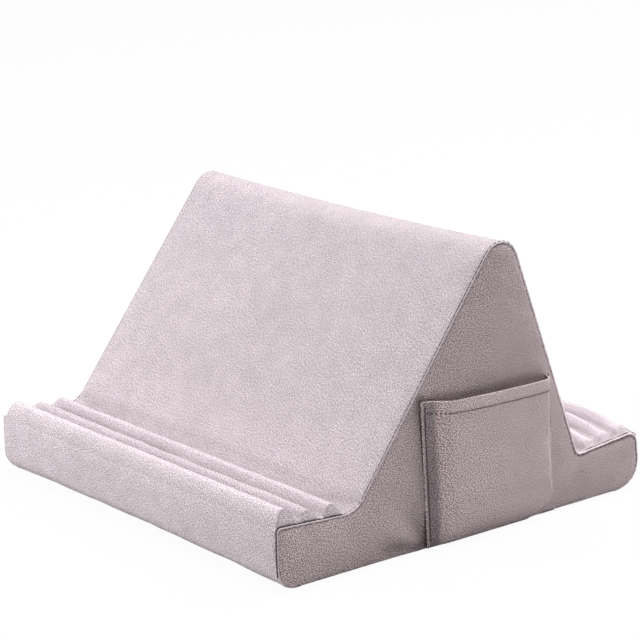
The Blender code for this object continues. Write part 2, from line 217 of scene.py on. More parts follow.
def suede(name, colour, tufts_per_metre, grain, rear_grain, grain_depth, patchiness):
    """Brushed microfibre: a fine grainy pile, soft patches where the nap lies over, a dull sheen.

    The UV maps are in metres. grain is the contrast of the pile's tufts at the front of the stand,
    rear_grain that at its rear, where the nap is brushed flatter. The points' "nap" holds painted
    light and shade: how much lighter or darker the cloth is painted there.
    """
    material, nodes, links, shader = new_material(name)
    shader.inputs["Roughness"].default_value = 0.95
    shader.inputs["Specular IOR Level"].default_value = 0.12
    shader.inputs["Sheen Weight"].default_value = 0.12
    shader.inputs["Sheen Roughness"].default_value = 0.6
    place = nodes.new("ShaderNodeTexCoord")

    def noise_node(scale, detail):
        node = nodes.new("ShaderNodeTexNoise")
        node.inputs["Scale"].default_value = scale
        node.inputs["Detail"].default_value = detail
        node.inputs["Roughness"].default_value = 0.6
        links.new(place.outputs["Object"], node.inputs["Vector"])
        return node.outputs["Fac"]

    def mapped(value, low, high, to_low, to_high):
        node = nodes.new("ShaderNodeMapRange")
        for socket, number in (("From Min", low), ("From Max", high),
                               ("To Min", to_low), ("To Max", to_high)):
            node.inputs[socket].default_value = number
        links.new(value, node.inputs["Value"])
        return node.outputs["Result"]

    def joined(operation, first, second):
        node = nodes.new("ShaderNodeMath")
        node.operation = operation
        for socket, value in zip(node.inputs, (first, second)):
            if isinstance(value, float):
                socket.default_value = value
            else:
                links.new(value, socket)
        return node.outputs[0]

    tufts = nodes.new("ShaderNodeTexNoise")
    tufts.noise_dimensions = "2D"
    tufts.inputs["Scale"].default_value = tufts_per_metre
    tufts.inputs["Detail"].default_value = 1.0
    links.new(place.outputs["UV"], tufts.inputs["Vector"])
    heap = mapped(tufts.outputs["Fac"], *USUAL_NOISE, -0.5, 0.5)
    where = nodes.new("ShaderNodeSeparateXYZ")
    links.new(place.outputs["Object"], where.inputs["Vector"])
    contrast = mapped(where.outputs["Y"], *GRAIN_CHANGE, grain, rear_grain)
    nap = noise_node(scale=110, detail=5.0)
    broad = noise_node(scale=15, detail=2.0)
    patches = joined("ADD", mapped(nap, *USUAL_NOISE, -patchiness, patchiness),
                     mapped(broad, *USUAL_NOISE, -patchiness / 2, patchiness / 2))
    factor = joined("ADD", joined("MULTIPLY", heap, contrast), 0.5)
    tint = nodes.new("ShaderNodeMix")
    tint.data_type = "RGBA"
    for socket, level, shift in (("A", DARK_TUFT, -TUFT_SHIFT), ("B", LIGHT_TUFT, TUFT_SHIFT)):
        red, green, blue = (level * part for part in colour)
        tint.inputs[socket].default_value = (red, green + shift, blue + shift, 1.0)
    links.new(factor, tint.inputs["Factor"])
    # painted light and shade: the points' "nap", added to the random patches
    brushed = nodes.new("ShaderNodeAttribute")
    brushed.attribute_name = "nap"
    patches_and_painted_light = joined("ADD", patches, brushed.outputs["Fac"])
    toned = nodes.new("ShaderNodeVectorMath")
    toned.operation = "SCALE"
    links.new(tint.outputs["Result"], toned.inputs[0])
    links.new(joined("ADD", patches_and_painted_light, 1.0), toned.inputs["Scale"])
    links.new(toned.outputs["Vector"], shader.inputs["Base Color"])

    fine = nodes.new("ShaderNodeBump")
    fine.inputs["Strength"].default_value = 0.8
    fine.inputs["Distance"].default_value = grain_depth
    links.new(heap, fine.inputs["Height"])
    uneven = nodes.new("ShaderNodeBump")
    uneven.inputs["Strength"].default_value = 0.3
    uneven.inputs["Distance"].default_value = 1.2 * MM
    links.new(nap, uneven.inputs["Height"])
    links.new(uneven.outputs["Normal"], fine.inputs["Normal"])
    links.new(fine.outputs["Normal"], shader.inputs["Normal"])
    return material


def arc_points(before, here, after, radius):
    """The round of a corner, as points from the line before it to the line after it."""
    way_in, way_out = (here - before).normalized(), (after - here).normalized()
    turn = math.atan2(way_in.x * way_out.y - way_in.y * way_out.x, way_in.dot(way_out))
    side = 1 if turn > 0 else -1
    start = here - way_in * radius * math.tan(abs(turn) / 2)
    centre = start + Vector((-way_in.y, way_in.x)) * radius * side
    arm = start - centre
    points = []
    for step in range(CORNER_STEPS + 1):
        cosine = math.cos(turn * step / CORNER_STEPS)
        sine = math.sin(turn * step / CORNER_STEPS)
        points.append(centre + Vector((arm.x * cosine - arm.y * sine,
                                       arm.x * sine + arm.y * cosine)))
    return points


def rounded_line(corners, closed=False):
    """Line through (y, z, radius) corners in mm, rounded, with its long straights divided."""
    places = [Vector((y, z)) * MM for y, z, _ in corners]
    count = len(places)
    line = []
    for i, here in enumerate(places):
        if not closed and i in (0, count - 1):
            points = [here]
        else:
            points = arc_points(places[i - 1], here, places[(i + 1) % count], corners[i][2] * MM)
        if line:
            gap = points[0] - line[-1]
            pieces = max(1, round(gap.length / LONG_STEP))
            line += [line[-1] + gap * k / pieces for k in range(1, pieces)]
        line += points
    return line


def puff(cloth, pinned, pressure, cap_at, slack=0.0):
    """Lets a sheet swell between its seams over the foam, by a cloth simulation.

    A point moves no further than cap_at(its place), and slack is the share by which the cloth is
    cut too large.
    """
    seams = cloth.vertex_groups.new(name="seams")
    seams.add(pinned, 1.0, "REPLACE")
    before = [v.co.copy() for v in cloth.data.vertices]
    modifier = cloth.modifiers.new("swell", "CLOTH")
    settings = modifier.settings
    settings.vertex_group_mass = "seams"
    settings.use_pressure = True
    settings.uniform_pressure_force = pressure
    settings.effector_weights.gravity = 0.0
    settings.shrink_min = -slack
    for frame_number in range(1, PUFF_FRAMES + 1):
        bpy.context.scene.frame_set(frame_number)
    bpy.context.view_layer.objects.active = cloth
    bpy.ops.object.modifier_apply(modifier=modifier.name)
    bpy.context.scene.frame_set(1)
    for vertex, place in zip(cloth.data.vertices, before):
        move = vertex.co - place
        cap = cap_at(place)
        if move.length > 1e-9:
            vertex.co = place + move.normalized() * cap * (1 - math.exp(-move.length / cap))
    cloth.vertex_groups.clear()
    cloth.data.update()


def lay_pattern(obj, place_of):
    """Gives a piece a UV map in metres, from the place of each point on the flat cloth."""
    layer = obj.data.uv_layers.active or obj.data.uv_layers.new(name="cloth")
    for loop in obj.data.loops:
        layer.data[loop.index].uv = place_of(obj.data.vertices[loop.vertex_index])


def paint_light_and_shade(obj, nap_of):
    """Stores in each point's "nap" how much painted light and shade lighten or darken the cloth."""
    layer = obj.data.attributes.new("nap", "FLOAT", "POINT")
    for vertex in obj.data.vertices:
        layer.data[vertex.index].value = nap_of(vertex)


def above_ground(obj):
    """Keeps a piece from reaching under the surface that the stand rests on."""
    for vertex in obj.data.vertices:
        vertex.co.z = max(vertex.co.z, 0.0)
    obj.data.update()


def make_cloth(obj):
    """Gives a sheet its thickness, inward, and rounds it off."""
    apply(obj, "SOLIDIFY", thickness=CLOTH, offset=-1.0)
    apply(obj, "SUBSURF", levels=1, render_levels=1)
    obj.data.shade_smooth()


full_line = rounded_line(FRONT_BOTTOM + FRONT_RIDGES + SLOPES + REAR_RIDGES + REAR_BOTTOM)
seam_line = rounded_line([*FRONT_BOTTOM[1:], (*SLOPES[0][:2], SEAM_FOOT_ROUND), *SLOPES[1:],
                          *REAR_BOTTOM[:-1]], closed=True)
front_foot_y, front_edge_y = (SLOPES[0][0] + FOOT_MARGIN) * MM, FRONT_BOTTOM[2][0] * MM
rear_foot_y, rear_edge_y = SLOPES[2][0] * MM, REAR_BOTTOM[0][0] * MM


def seam_height(y):
    """Height of the side seam at a place on the ledge in front or behind."""
    for a, b in zip(seam_line, seam_line[1:]):
        if a.x <= y < b.x:
            return a.y + (b.y - a.y) * (y - a.x) / (b.x - a.x)
    return 0.0


def rise_share(distance, length):
    """Height share of a ridge at a distance from the seam that it falls to."""
    share = min(1.0, distance / length)
    return share if length < CRISP_END else math.sin(math.pi / 2 * share) ** END_ROUND


def cover_point(x, row):
    """Point of the cover's line at x across the stand."""
    y, z = full_line[row]
    side = 1 if x > 0 else -1
    distance = COVER_END - abs(x)
    if front_edge_y < y < front_foot_y:
        above = max(0.0, z - seam_height(y))
        z = z - above * (1 - rise_share(distance, FRONT_END_LENGTH[side]))
    elif rear_foot_y < y < rear_edge_y:
        above = max(0.0, z - seam_height(y))
        left_over = REAR_SINK_SHARE + (1 - REAR_SINK_SHARE) * eased(distance / REAR_SINK_LENGTH)
        z = z - above * (1 - left_over * rise_share(distance, REAR_END_LENGTH))
    return Vector((x, y, z))


seam_distances = [step * MM for step in COLUMN_STEPS]
columns = [-COVER_END + d for d in seam_distances] + [0.0] + [
    COVER_END - d for d in reversed(seam_distances)]
rows = len(full_line) - 1
bpy.ops.mesh.primitive_grid_add(x_subdivisions=len(columns) - 1, y_subdivisions=rows, size=1)
top_panel = bpy.context.object
top_panel.name = "top_cloth"
row_of = {}
for vertex in top_panel.data.vertices:
    column = round((vertex.co.x + 0.5) * (len(columns) - 1))
    row = round((vertex.co.y + 0.5) * rows)
    row_of[vertex.index] = (column, row)
    vertex.co = cover_point(columns[column], row)
top_panel.data.update()
along_cover = [0.0]
for a, b in zip(full_line, full_line[1:]):
    along_cover.append(along_cover[-1] + (b - a).length)
from_middle = {}
for row in range(rows + 1):
    points = [cover_point(x, row) for x in columns]
    reach = [0.0]
    for a, b in zip(points, points[1:]):
        reach.append(reach[-1] + (b - a).length)
    for column, length in enumerate(reach):
        from_middle[column, row] = length - reach[len(columns) // 2]
lay_pattern(top_panel, lambda v: (from_middle[row_of[v.index]] + PATTERN_START,
                                  along_cover[row_of[v.index][1]]))


def cover_painted_light(vertex):
    """Painted shade in the grooves and a little high on the slopes, painted light on the ridges."""
    column, row = row_of[vertex.index]
    y, z = full_line[row]
    if front_edge_y < y < front_foot_y or rear_foot_y < y < rear_edge_y:
        height = min(1.0, max(0.0, (z - seam_height(y)) / RIDGE_RISE))
        from_seam = COVER_END - abs(columns[column])
        if from_seam < END_EDGE and y < 0:
            return END_PAINTED_LIGHT
        folded = from_seam < END_FOLD or height > CREST_SHARE
        # nap: the painted light and shade of this ledge point, from its height on the ridge
        nap = VALLEY_PAINTED_SHADE + (CREST_PAINTED_LIGHT - VALLEY_PAINTED_SHADE) * height
        if y > 0:
            return nap + REAR_PAINTED_SHADE + REAR_EDGE_PAINTED_HIGHLIGHT * folded
        return nap + CREST_EDGE_PAINTED_HIGHLIGHT * folded
    return SLOPE_PAINTED_SHADE * min(1.0, max(0.0, (z - SLOPE_PAINTED_SHADE_FROM) / SLOPE_PAINTED_SHADE_RISE))


paint_light_and_shade(top_panel, cover_painted_light)


def is_valley(row):
    """Whether the cover is held down on the foam at this row, at the bottom of a groove."""
    y = full_line[row].x
    for valley_y, _, radius in FRONT_RIDGES[1::2] + REAR_RIDGES[0::2]:
        if abs(y - valley_y * MM) < radius * MM * VALLEY_HOLD:
            return True
    return False


pinned = [index for index, (column, row) in row_of.items()
          if column in (0, len(columns) - 1) or row in (0, rows) or is_valley(row)]


def cover_cap(place):
    """The ridges keep their shape under the cloth, and the broad stretches swell more."""
    on_ridges = place.y < SLOPES[0][0] * MM or place.y > SLOPES[2][0] * MM
    return RIDGE_CAP if on_ridges and place.z > RIDGE_LEVEL else BROAD_CAP


puff(top_panel, pinned, pressure=3.0, cap_at=cover_cap, slack=0.004)


def dip_at_seam(place, normal):
    """Move of a point of the cover that draws it into the side seams."""
    share = max(0.0, 1 - (COVER_END - abs(place.x)) / SEAM_DIP_WIDTH)
    return -SEAM_DIP * share * share * normal


move_points(top_panel, dip_at_seam)
make_cloth(top_panel)
above_ground(top_panel)
splay(top_panel)
cover_suede = suede("cover_suede", CLOTH_COLOUR, tufts_per_metre=1500, grain=0.8,
                    rear_grain=0.5, grain_depth=0.25 * MM, patchiness=0.07)
top_panel.data.materials.append(cover_suede)
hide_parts("top_panel", "ridge_end_front_left", "ridge_end_front_right",
            "ridge_end_rear_left", "ridge_end_rear_right")
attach(top_panel, "root")


# Side panels: one piece of the same cloth on each side, cut to the side outline with straight
# ledges and sewn in all round. The foam behind them makes them swell a little between the seams,
# and the right one is drawn in where the pocket is sewn on.
SIDE_STEP = 2.6 * MM
SIDE_COLOUR = (0.620, 0.508, 0.527)     # painted light: pinker for the warmer light on the sides
PANEL_INSET = 0.85 * MM          # the panel's edge is this far inside the seam line
PANEL_LOW_INSET = 0.3 * MM       # and this far where it turns under the base
LOW_EDGE = 9 * MM                # height below which the panel turns under
EDGE_DIP = 0.45 * MM
EDGE_DIP_WIDTH = 2.4 * MM
POCKET_FRONT_Y = -26.5 * MM      # the pocket's sewn front edge
POCKET_TOP = 80 * MM
PANEL_CAP = 1.0 * MM             # the panel swells by less than this
PANEL_CROWN = 1.8 * MM           # the panel stands this far proud of its seam in the middle
CROWN_REACH = 14 * MM
POCKET_PULL = 2.0 * MM           # the panel is drawn in by this much at the pocket's front edge
POCKET_PULL_WIDTH = 9 * MM
POCKET_PULL_POWER = 1.5
PUCKER = 2.2 * MM                # height of the folds at the pocket's lower front corner
PUCKER_REACH = 19 * MM
PUCKER_FOOT = 2 * MM             # height that they fan out from
PUCKER_FOLDS = 7.0
PUCKER_TURN = 0.72               # direction of the highest fold, in radians above the ground
# painted light on the puckers' folds and painted shade between them
PUCKER_PAINTED_LIGHT = 0.36
FOLD_PAINTED_SHADE = -0.42                 # painted shade: darker in the crease beside the pocket, over this width, and this far under the pocket
FOLD_PAINTED_SHADE_WIDTH = 4.5 * MM        # over this width,
FOLD_PAINTED_SHADE_UNDER = 2 * MM          # and this far under the pocket


def moved_in(line, distance):
    """A closed line that runs clockwise, moved inward in its plane by a distance."""
    moved = []
    for i, here in enumerate(line):
        along = (line[(i + 1) % len(line)] - line[i - 1]).normalized()
        moved.append(here + Vector((along.y, -along.x)) * distance)
    return moved


def select_only(obj):
    """Selects one object and makes it the active one."""
    bpy.ops.object.select_all(action="DESELECT")
    obj.select_set(True)
    bpy.context.view_layer.objects.active = obj


def cut_cloth(name, outline, step):
    """A flat piece of cloth with this outline in a plane of constant x, in cells of this size."""
    bm = bmesh.new()
    face = bm.faces.new([bm.verts.new(point) for point in outline])
    face.normal_update()
    if face.normal.x * outline[0].x < 0:
        face.normal_flip()
    mesh = bpy.data.meshes.new(name)
    bm.to_mesh(mesh)
    bm.free()
    obj = new_object(name, mesh)
    select_only(obj)
    bpy.ops.object.mode_set(mode="EDIT")
    for axis in (1, 2):
        values = [point[axis] for point in outline]
        cuts = round((max(values) - min(values)) / step)
        for cut in range(1, cuts):
            place, across = Vector(outline[0]), Vector((0, 0, 0))
            place[axis] = min(values) + (max(values) - min(values)) * cut / cuts
            across[axis] = 1
            bpy.ops.mesh.select_all(action="SELECT")
            bpy.ops.mesh.bisect(plane_co=place, plane_no=across)
    bpy.ops.mesh.select_all(action="SELECT")
    bpy.ops.mesh.remove_doubles(threshold=0.25 * MM)
    bpy.ops.object.mode_set(mode="OBJECT")
    obj.select_set(False)
    return obj


def edge_points(obj):
    """Numbers of the points on a sheet's open edges."""
    bm = bmesh.new()
    bm.from_mesh(obj.data)
    found = [v.index for v in bm.verts if v.is_boundary]
    bm.free()
    return found


def distance_to_line(place, line):
    """Distance in the Y-Z plane from a place to a closed line of (y, z) points."""
    best = 1.0
    for a, b in zip(line, line[1:] + line[:1]):
        by, bz = b.x - a.x, b.y - a.y
        share = ((place.y - a.x) * by + (place.z - a.y) * bz) / max(by * by + bz * bz, 1e-12)
        share = min(1.0, max(0.0, share))
        best = min(best, math.hypot(place.y - a.x - share * by, place.z - a.y - share * bz))
    return best


side_suede = suede("side_suede", SIDE_COLOUR, tufts_per_metre=1880, grain=3.5,
                   rear_grain=0.6, grain_depth=0.3 * MM, patchiness=0.05)
panel_line = [p + (q - p) * min(1.0, max(PANEL_LOW_INSET / PANEL_INSET, p.y / LOW_EDGE))
              for p, q in zip(seam_line, moved_in(seam_line, PANEL_INSET))]


def pucker(place):
    """The folds that fan out from the pocket's lower front corner: 1 on a fold, -1 between."""
    away = Vector((POCKET_FRONT_Y - place.y, place.z - PUCKER_FOOT))
    if away.x <= 0:
        return 0.0
    angle = math.atan2(away.y, away.x)
    spread = away.length / PUCKER_REACH
    return (math.cos(PUCKER_FOLDS * (angle - PUCKER_TURN)) * spread
            * math.exp(1 - spread * spread - angle))


for side, sign in (("right", 1), ("left", -1)):
    low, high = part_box(f"{side}_side_panel")
    outer_x = high.x if sign > 0 else low.x
    panel = cut_cloth(f"{side}_side_cloth", [Vector((outer_x, p.x, p.y)) for p in panel_line],
                      SIDE_STEP)
    lay_pattern(panel, lambda v: (v.co.y + PATTERN_START, v.co.z))
    puff(panel, edge_points(panel), pressure=2.0, cap_at=lambda place: PANEL_CAP, slack=0.01)

    def shape_panel(place, normal):
        """Dips into the seam all round, and is drawn in and puckered beside the pocket."""
        inside = distance_to_line(place, panel_line)
        edge = max(0.0, 1 - inside / EDGE_DIP_WIDTH)
        rise = PANEL_CROWN * (1 - math.exp(-inside / CROWN_REACH)) - EDGE_DIP * edge * edge
        if sign > 0:
            beside = abs(place.y - POCKET_FRONT_Y)
            pull = math.exp(-(beside / POCKET_PULL_WIDTH) ** POCKET_PULL_POWER)
            if place.z < POCKET_TOP:
                rise -= POCKET_PULL * pull * (1 - edge)
            rise += PUCKER * pucker(place) * (1 - edge)
        return Vector((sign * rise, 0, 0))

    def panel_painted_light(vertex):
        """Painted shade in the pocket's sewn crease, painted light on the folds in front of it."""
        beside = POCKET_FRONT_Y - vertex.co.y
        if sign < 0 or beside < -FOLD_PAINTED_SHADE_UNDER or vertex.co.z > POCKET_TOP:
            return 0.0
        return (FOLD_PAINTED_SHADE * math.exp(-max(0.0, beside) / FOLD_PAINTED_SHADE_WIDTH)
                + PUCKER_PAINTED_LIGHT * pucker(vertex.co))

    move_points(panel, shape_panel)
    paint_light_and_shade(panel, panel_painted_light)
    make_cloth(panel)
    if side == "left":
        splay(panel)
    panel.data.materials.append(side_suede)
    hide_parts(f"{side}_side_panel")
    size = high - low
    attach(panel, "root")


# Seams: the folded cloth edge that stands up as a thin light line where each side panel is sewn
# in, its cloth painted lighter as a painted highlight, and the brown thread that shows beside it.
# Under the stand the fold is tucked away.
WELT_RADIUS = 0.36 * MM
WELT_INSET = 0.62 * MM           # from the seam line in to the middle of the welt
WELT_X = 129.72 * MM
UNDER_FROM = 4 * MM              # the welt is tucked away below this height,
UNDER_TUCK = 1.5 * MM            # by this much at the ground,
GROUND_GAP = 0.3 * MM            # and stays this far above it
FRONT_SEAM_Y = -112 * MM         # the seam of the front face is in front of this
REAR_SEAM_Y = 36 * MM            # from here back the thread shows inside the welt, not outside it and the welt is painted lighter, a painted highlight
REAR_WELT_HIGHLIGHT = 0.6              # and the welt is rubbed lighter
THREAD_LOW = 8 * MM              # no thread shows below this height,
REAR_THREAD_TOP = 48 * MM        # nor, behind, above this one
STITCH_LENGTH = 2.5 * MM
STITCH_PITCH = 3.0 * MM
FRONT_STITCH_PITCH = 2.1 * MM    # on the front face the stitches meet in one dark line
FRONT_STITCH_WIDTH = 0.8 * MM
STITCH_WIDTH = 0.40 * MM
STITCH_DEPTH = 0.36 * MM
# Seats of the thread: how far in from the seam line, and out from the stand's middle.
PROUD_SEAT = (0.08 * MM, 129.30 * MM)
SUNK_SEAT = (0.60 * MM, 129.28 * MM)
INNER_SEAT = (1.70 * MM, 130.05 * MM)
# Parts of the seams with thread, its seat, and the stitches' pitch and width.
SEAM_THREADS = {
    "right": (("front", PROUD_SEAT, FRONT_STITCH_PITCH, FRONT_STITCH_WIDTH),
              ("ledge", PROUD_SEAT, STITCH_PITCH, STITCH_WIDTH),
              ("rear", INNER_SEAT, STITCH_PITCH, STITCH_WIDTH)),
    "left": (("ledge", SUNK_SEAT, STITCH_PITCH, STITCH_WIDTH),
             ("rear", INNER_SEAT, STITCH_PITCH, STITCH_WIDTH)),
}
# the welt's cloth is painted lighter than the cover's: a painted highlight along the fold
WELT_PAINTED_LIGHT_COLOUR = (0.70, 0.62, 0.65)
THREAD_LIGHT = (0.07, 0.042, 0.046, 1.0)
THREAD_DARK = (0.025, 0.014, 0.016, 1.0)
welt_highlight_suede = suede("welt_highlight_suede", WELT_PAINTED_LIGHT_COLOUR, tufts_per_metre=1450, grain=0.3,
                   rear_grain=0.3, grain_depth=0.12 * MM, patchiness=0.04)
thread, twist = speckled("brown_thread", "ShaderNodeTexWave", "Fac", scale=900,
                         dark=THREAD_DARK, light=THREAD_LIGHT, roughness=0.6)
twist.bands_direction = "DIAGONAL"


def spots_along(line, pitch):
    """(place, direction) at equal steps along a closed line of 3-D points."""
    spots, walked = [], 0.0
    for a, b in zip(line, line[1:] + line[:1]):
        length = (b - a).length
        while walked < length:
            spots.append((a.lerp(b, walked / length), (b - a).normalized()))
            walked += pitch
        walked -= length
    return spots


def sew(name, spots, length=STITCH_LENGTH, width=STITCH_WIDTH):
    """One piece with a stitch at each (place, direction, outward normal)."""
    bpy.ops.object.select_all(action="DESELECT")
    bpy.ops.mesh.primitive_uv_sphere_add(segments=8, ring_count=5, radius=0.5)
    row = bpy.context.object
    row.name = name
    stitch = row.data.copy()
    stitch.transform(Matrix.Rotation(math.pi / 2, 4, "Y"))
    stitch.transform(Matrix.Diagonal((length, width, STITCH_DEPTH, 1)))
    bm = bmesh.new()
    for place, along, out in spots:
        along = (along - out * along.dot(out)).normalized()
        turned = Matrix((along, out.cross(along), out)).transposed().to_4x4()
        one = stitch.copy()
        one.transform(Matrix.Translation(place) @ turned)
        bm.from_mesh(one)
        bpy.data.meshes.remove(one)
    bm.to_mesh(row.data)
    bm.free()
    row.select_set(False)
    row.data.shade_smooth()
    row.data.materials.append(thread)
    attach(row, "root")
    return row


def lay_cord(name, path, radius, material, closed=False):
    """A thin round edge along a path, as a mesh."""
    curve = bpy.data.curves.new(name, "CURVE")
    curve.dimensions = "3D"
    curve.bevel_depth = radius
    curve.bevel_resolution = 2
    curve.use_fill_caps = not closed
    spline = curve.splines.new("POLY")
    spline.points.add(len(path) - 1)
    for target, point in zip(spline.points, path):
        target.co = (*point, 1.0)
    spline.use_cyclic_u = closed
    select_only(new_object(name, curve))
    bpy.ops.object.convert(target="MESH")
    cord = bpy.context.object
    cord.select_set(False)
    cord.data.shade_smooth()
    cord.data.materials.clear()
    lay_pattern(cord, lambda v: (v.co.y, v.co.z))
    cord.data.materials.append(material)
    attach(cord, "root")
    return cord


def seam_part(place):
    """The part of a seam whose thread shows at this place, or None where none shows."""
    if place.z <= THREAD_LOW:
        return None
    if place.y < FRONT_SEAM_Y:
        return "front"
    if place.y < REAR_SEAM_Y:
        return "ledge"
    return "rear" if place.z < REAR_THREAD_TOP else None


for side, sign in (("right", 1), ("left", -1)):
    path = []
    for point in moved_in(seam_line, WELT_INSET):
        under = 1 - min(1.0, max(0.0, point.y / UNDER_FROM))
        path.append(Vector((sign * (WELT_X - under * UNDER_TUCK), point.x,
                            max(point.y, WELT_RADIUS + GROUND_GAP))))
    welt = lay_cord(f"{side}_welt", path, WELT_RADIUS, welt_highlight_suede, closed=True)
    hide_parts(f"{side}_seam_welt")
    paint_light_and_shade(welt, lambda vertex: REAR_WELT_HIGHLIGHT if vertex.co.y > REAR_SEAM_Y else 0.0)

    for part, (inset, out_x), pitch, width in SEAM_THREADS[side]:
        line = [Vector((sign * out_x, p.x, p.y)) for p in moved_in(seam_line, inset)]
        threads = [(place, along, Vector((sign, 0, 0)))
                   for place, along in spots_along(line, pitch) if seam_part(place) == part]
        row = sew(f"{side}_{part}_thread", threads, width=width)
        if side == "left":
            splay(row)
    if side == "left":
        splay(welt)


# Base panel: a plain piece of cloth under the foam, with rows of small silicone dots that keep
# the stand from sliding on a lap or a table.
DOT_RADIUS = 1.6 * MM
DOT_HEIGHT = 0.5 * MM
DOT_PITCH = 11 * MM
DOT_MARGIN = 9 * MM
BASE_LIFT = 0.4 * MM             # the cloth clears the ground by this much, on its dots
BASE_THINNED = 0.9               # share of that by which it is thinner than the solid
SILICONE_DARK = (0.36, 0.32, 0.33, 1.0)
SILICONE_LIGHT = (0.46, 0.41, 0.43, 1.0)

low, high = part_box("base_panel")
bpy.ops.mesh.primitive_cube_add(size=1, location=(0, 0, 0))
base = bpy.context.object
base.name = "base_cloth"
middle, size = (low + high) / 2, high - low
base.data.transform(Matrix.Diagonal((size.x, size.y, size.z - BASE_LIFT * BASE_THINNED, 1)))
base.data.transform(Matrix.Translation(middle + Vector((0, 0, BASE_LIFT / 2))))
bpy.ops.object.mode_set(mode="EDIT")
bpy.ops.mesh.select_all(action="SELECT")
bpy.ops.mesh.bevel(offset=0.3 * MM, segments=2)
bpy.ops.object.mode_set(mode="OBJECT")
base.select_set(False)
base.data.shade_smooth()
base.data.set_sharp_from_angle(angle=math.radians(40))
base.data.materials.append(cover_suede)
lay_pattern(base, lambda v: (v.co.x, v.co.y))
splay(base)
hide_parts("base_panel")
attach(base, "root")

bpy.ops.mesh.primitive_uv_sphere_add(segments=10, ring_count=6, radius=1)
dots = bpy.context.object
dots.name = "grip_dots"
dots.data.transform(Matrix.Diagonal((DOT_RADIUS, DOT_RADIUS, DOT_HEIGHT, 1)))
dot_mesh = dots.data.copy()
dot_columns = round((size.x - 2 * DOT_MARGIN) / DOT_PITCH)
dot_rows = round((size.y - 2 * DOT_MARGIN) / DOT_PITCH)
bm = bmesh.new()
for i in range(dot_columns + 1):
    for j in range(dot_rows + 1):
        x = low.x + DOT_MARGIN + (size.x - 2 * DOT_MARGIN) * i / dot_columns
        y = low.y + DOT_MARGIN + (size.y - 2 * DOT_MARGIN) * j / dot_rows
        dot_mesh.transform(Matrix.Translation((x, y, DOT_HEIGHT)))
        bm.from_mesh(dot_mesh)
        dot_mesh.transform(Matrix.Translation((-x, -y, -DOT_HEIGHT)))
bm.to_mesh(dots.data)
bm.free()
dots.select_set(False)
dots.data.shade_smooth()
silicone, _ = speckled("grip_silicone", "ShaderNodeTexNoise", "Fac", scale=300,
                       dark=SILICONE_DARK, light=SILICONE_LIGHT, roughness=0.5)
dots.data.materials.append(silicone)
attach(dots, "root")


# Patch pocket: a piece of the cover cloth on the right side panel. Its front and rear edges are
# turned in and sewn down as flat strips, its bottom is caught in the seam under the panel, its
# face stands off to leave room, and its top edge is a folded hem with a row of stitches.
POCKET_STEP = 1.0 * MM
POCKET_CLOTH = 0.8 * MM
POCKET_PATTERN_START = 0.5
POCKET_CAP = 0.9 * MM            # its face swells by less than this
PANEL_GAP = 0.3 * MM             # the solids stand this far off each other
PANEL_FACE_X = 130.05 * MM       # the pocket reaches no further in
SEWN_IN = 1.5 * MM               # the face is held down this far in from its sewn edge,
SEWN_UP = 3 * MM                 # and this far up from the bottom
POCKET_DROP = 2.5 * MM           # the top edge falls by this much towards the rear
TOP_SAG = 0.9 * MM
STRIP = 1.9 * MM                 # width of the flat strip along the front edge
STRIP_PROUD = 1.5 * MM           # the strips stand this far off the side panel
GROOVE = 1.0 * MM                # width of the groove that the stitches pull in
GROOVE_PROUD = 0.7 * MM
REAR_STRIP_PROUD = 1.0 * MM
REAR_GROOVE = 1.5 * MM
FACE_LOW = 1.0 * MM              # the face begins this far off the panel
FACE_PROUD = 8.4 * MM
FRONT_FLARE = 12 * MM            # the face rises over this length behind the front strip
REAR_FLARE = 6.5 * MM
REAR_STRIP = 2.4 * MM            # from the rear edge to where the face begins to stand off
REAR_TURNED_IN = 2.3 * MM        # the rear edge is turned in by this much
REAR_ROUND = 15 * MM             # radius of the face's lower rear corner
BOTTOM_FLARE = 20 * MM
BOTTOM_SHARE = 0.12              # share of its height that the face has right at the bottom
HEM_HEIGHT = 7.2 * MM
HEM_PROUD = 0.4 * MM
HEM_RISE = 0.8 * MM              # it reaches that over this length
HEM_STITCH_DOWN = 6.3 * MM       # from the top edge to the stitches
HEM_GROOVE = 0.3 * MM            # depth of the groove that they pull in
HEM_GROOVE_WIDTH = 0.9 * MM
HEM_FALL = -0.03                 # slope of the row of stitches
EDGE_STITCH_IN = 2.4 * MM
# the fold's thread is one dark line: partly brown thread, partly painted shade in the fold
FOLD_THREAD_X = 130.5 * MM       # the brown thread of the fold shows between it and the panel,
FOLD_THREAD_FRONT = 0.1 * MM     # this far in front of the pocket
FOLD_STITCH = 3.3 * MM
FOLD_ROW = 2.5 * MM, 4 * MM      # likewise
CREASE_SHADE_WIDTH = 5.8 * MM          # painted shade over this width behind the front stitches
CREASE_PAINTED_SHADE = -0.42
TOP_EDGE_HIGHLIGHT = 0.25              # painted highlight along the folded top edge over this height, and the face is a little lighter than the panel
TOP_EDGE = 0.5 * MM              # over this height,
FACE_LIGHTENING = 0.14                  # and stands up a little more on the face than on the panel
# the front strip is a little darker
FRONT_STRIP_DARKENING = -0.05
